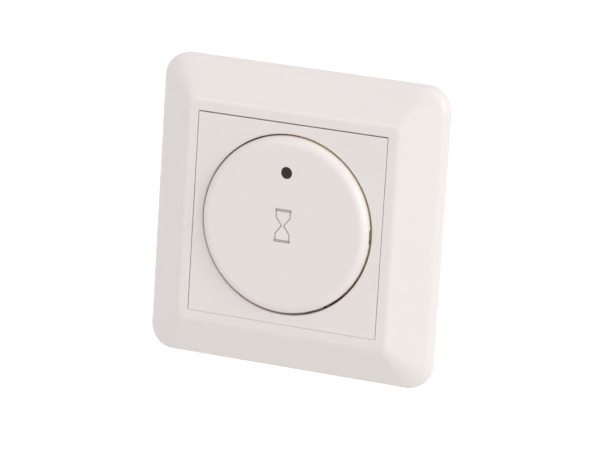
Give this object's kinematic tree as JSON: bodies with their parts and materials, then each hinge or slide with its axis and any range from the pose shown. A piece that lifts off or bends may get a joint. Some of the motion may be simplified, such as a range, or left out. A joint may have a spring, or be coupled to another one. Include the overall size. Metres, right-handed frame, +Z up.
{
  "type": "ventilation boost timer",
  "caption": "Wall-box push-button timer that boosts a ventilation fan: square cover frame, centre plate, round button and electronic insert.",
  "frame": {"origin": "middle of the cover frame on the wall plane, which is the back face of the mounting yoke", "axes": "-Y out of the wall towards the user, +Z up, +X to the user's right"},
  "size_m": [0.085, 0.0361, 0.085],
  "materials": {
    "white_plastic": "warm white moulded thermoplastic, semi-gloss",
    "smoked_lens": "smoked polycarbonate, polished",
    "spring_steel": "bright spring wire",
    "zinc_plated_steel": "zinc plated steel",
    "housing_polyamide": "dark grey polyamide, fine matt",
    "circuit_board": "green solder mask on glass-epoxy board",
    "nylon": "natural nylon",
    "black_plastic": "black moulded plastic",
    "gold_pins": "gold flashed brass pins",
    "switch_plunger": "black moulded plastic",
    "led_epoxy": "diffused red epoxy",
    "trimmer_blue": "blue moulded plastic",
    "trimmer_white": "white moulded plastic",
    "relay_case": "blue relay case",
    "capacitor_box": "yellow box capacitor",
    "capacitor_sleeve": "black shrink sleeve",
    "varistor_coating": "blue epoxy coating",
    "fuse_case": "brown moulded plastic",
    "resistor_coating": "beige lacquer",
    "terminal_plastic": "light grey polyamide",
    "brass": "bright brass"
  },
  "bodies": {
    "base": {"board_header": "black_plastic", "board_spacers": "nylon", "bridge_rectifier": "black_plastic", "centre_plate": "white_plastic", "control_board": "circuit_board", "cover_frame": "white_plastic", "dropper_capacitor": "capacitor_box", "fuse": "fuse_case", "header_pins": "gold_pins", "housing_cover": "housing_polyamide", "housing_screws": "zinc_plated_steel", "indicator_led": "led_epoxy", "led_spacer": "nylon", "microcontroller": "black_plastic", "mounting_yoke": "zinc_plated_steel", "power_board": "circuit_board", "rear_housing": "housing_polyamide", "relay": "relay_case", "return_springs": "spring_steel", "smoothing_capacitor": "capacitor_sleeve", "supply_resistor": "resistor_coating", "tact_switch_body": "black_plastic", "terminal_block": "terminal_plastic", "terminal_clamps": "brass", "terminal_screws": "zinc_plated_steel", "time_trimmer_body": "trimmer_blue", "varistor": "varistor_coating"},
    "button": {"push_button": "white_plastic", "led_lens": "smoked_lens"},
    "switch_plunger": {"tact_switch_plunger": "switch_plunger"},
    "trimmer_rotor": {"time_trimmer_rotor": "trimmer_white"}
  },
  "joints": [
    {"name": "button_press", "type": "slide", "parent": "base", "child": "button", "axis": [0, 1, 0], "range_m": [0, 0.0012], "stiffness_N_per_m": 1200, "springref_m": -0.0015, "deforming": ["return_springs"]},
    {"name": "switch_plunger_press", "type": "slide", "parent": "base", "child": "switch_plunger", "axis": [0, 1, 0], "range_m": [0, 0.0003]},
    {"name": "run_time_turn", "type": "hinge", "parent": "base", "child": "trimmer_rotor", "pos_m": [-0.013, -0.002, 0], "axis": [0, -1, 0], "range_deg": [-135, 135]}
  ],
  "couplings": [
    {"joint": "switch_plunger_press", "follows": "button_press", "ratio": 0.25}
  ]
}
